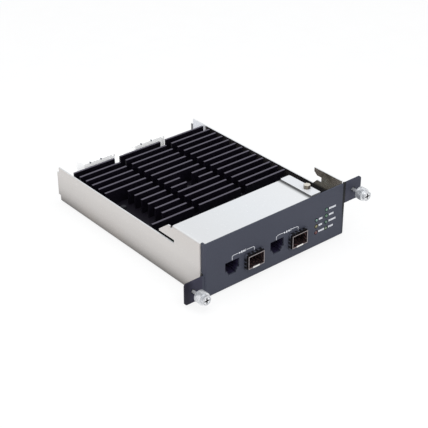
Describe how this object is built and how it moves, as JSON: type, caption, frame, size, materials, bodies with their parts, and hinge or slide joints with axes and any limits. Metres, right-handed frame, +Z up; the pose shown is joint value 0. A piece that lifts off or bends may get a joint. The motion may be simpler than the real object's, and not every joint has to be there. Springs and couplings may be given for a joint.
{
  "type": "switch line card",
  "caption": "Plug-in network card: open sheet-metal tray with slate front panel, finned heat sink, copper and optical ports, and captive screws in offset ears.",
  "frame": {"origin": "middle of the tray's underside", "axes": "+X along the front panel to its right end, +Y from the front panel to the rear sockets, +Z up from the tray's floor"},
  "size_m": [0.1585, 0.1839, 0.0452],
  "materials": {
    "tray_steel": "zinc-plated sheet",
    "panel_paint": "fine matte slate",
    "strip_steel": "bright plated sheet",
    "black_anodised": "black anodised",
    "yellow_zinc": "yellow zinc plate",
    "bright_nickel": "bright nickel plate",
    "plain_steel": "plain plated",
    "black_steel": "black oxide",
    "tin_cage": "tin plate",
    "dark_spring": "dark spring steel",
    "black_plastic": "moulded black",
    "socket_plastic": "moulded off-white",
    "gold_contact": "gold plate",
    "board_green": "solder mask",
    "chip_black": "moulded chip",
    "part_metal": "satin can",
    "pad_grey": "soft pad",
    "light_pipe_clear": "clear moulding",
    "lamp_white": "lamp body"
  },
  "bodies": {
    "card": {"board_screws": "plain_steel", "board_standoffs": "plain_steel", "chassis_tray": "tray_steel", "cover_nut": "yellow_zinc", "cover_screw": "yellow_zinc", "cover_strip": "strip_steel", "crystal_oscillator": "part_metal", "flash_chip": "chip_black", "front_panel": "panel_paint", "heat_sink": "black_anodised", "heat_sink_fins": "black_anodised", "heat_sink_posts": "plain_steel", "heat_sink_screws": "black_steel", "heat_sink_washers": "black_steel", "indicator_leds": "lamp_white", "left_backplane_socket_blades": "gold_contact", "left_backplane_socket_housing": "socket_plastic", "left_copper_jack_contacts": "gold_contact", "left_copper_jack_housing": "black_plastic", "left_copper_jack_shield": "tin_cage", "left_optical_cage": "tin_cage", "left_optical_gasket": "dark_spring", "left_optical_host_connector": "black_plastic", "light_pipe_holder": "black_plastic", "light_pipes": "light_pipe_clear", "line_magnetics": "chip_black", "main_board": "board_green", "memory_chips": "chip_black", "panel_nuts": "plain_steel", "phy_chips": "chip_black", "polymer_capacitors": "part_metal", "power_inductors": "chip_black", "power_socket_blades": "gold_contact", "power_socket_housing": "socket_plastic", "processor_chip": "chip_black", "right_backplane_socket_blades": "gold_contact", "right_backplane_socket_housing": "socket_plastic", "right_copper_jack_contacts": "gold_contact", "right_copper_jack_housing": "black_plastic", "right_copper_jack_shield": "tin_cage", "right_optical_cage": "tin_cage", "right_optical_gasket": "dark_spring", "right_optical_host_connector": "black_plastic", "switch_chip": "chip_black", "thermal_pads": "pad_grey"},
    "left_ring": {"left_retaining_ring": "black_steel"},
    "left_screw": {"left_thumbscrew": "bright_nickel"},
    "right_ring": {"right_retaining_ring": "black_steel"},
    "right_screw": {"right_thumbscrew": "bright_nickel"}
  },
  "joints": [
    {"name": "left_screw_travel", "type": "slide", "parent": "card", "child": "left_ring", "axis": [0, 1, 0], "range_m": [0, 0.0062]},
    {"name": "left_screw_turn", "type": "hinge", "parent": "left_ring", "child": "left_screw", "pos_m": [-0.07185, -0.0849, 0.0098], "axis": [0, 1, 0], "continuous": true},
    {"name": "right_screw_travel", "type": "slide", "parent": "card", "child": "right_ring", "axis": [0, 1, 0], "range_m": [0, 0.0062]},
    {"name": "right_screw_turn", "type": "hinge", "parent": "right_ring", "child": "right_screw", "pos_m": [0.07205, -0.0849, 0.0331], "axis": [0, 1, 0], "continuous": true}
  ]
}
